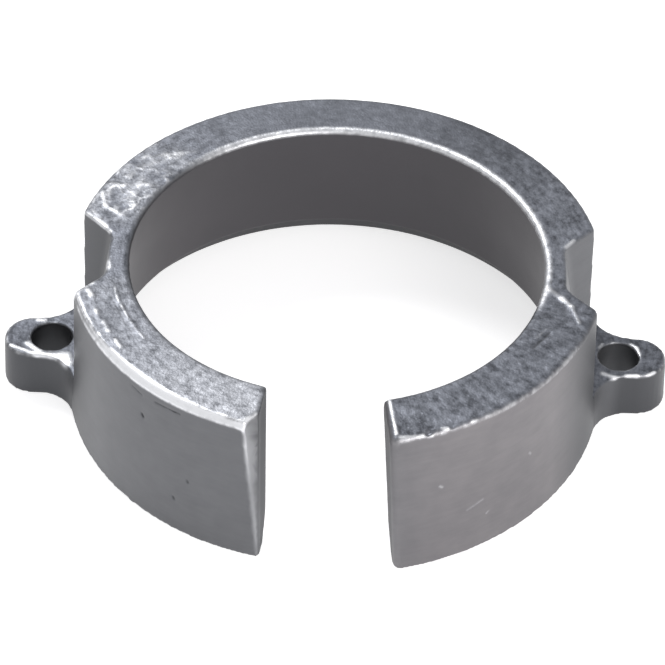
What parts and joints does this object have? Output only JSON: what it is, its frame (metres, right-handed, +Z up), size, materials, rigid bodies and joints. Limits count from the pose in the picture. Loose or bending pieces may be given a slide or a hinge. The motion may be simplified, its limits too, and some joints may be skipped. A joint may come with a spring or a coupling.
{
  "type": "sacrificial anode",
  "caption": "Open collar anode: a tapered cast ring with a front gap, screw lugs on both sides and screwdriver reliefs above them.",
  "frame": {"origin": "on the collar's axis, in the plane of its underside", "axes": "+Z up along the collar's axis, the gap faces -Y, the screw lugs point along -X and +X"},
  "size_m": [0.1376, 0.1095, 0.0332],
  "materials": {
    "anode_casting": "as-cast grey anode alloy, rough grained top face, smooth drafted walls, bright worn edges"
  },
  "bodies": {
    "root": {"anode_casting": "anode_casting"}
  },
  "joints": []
}
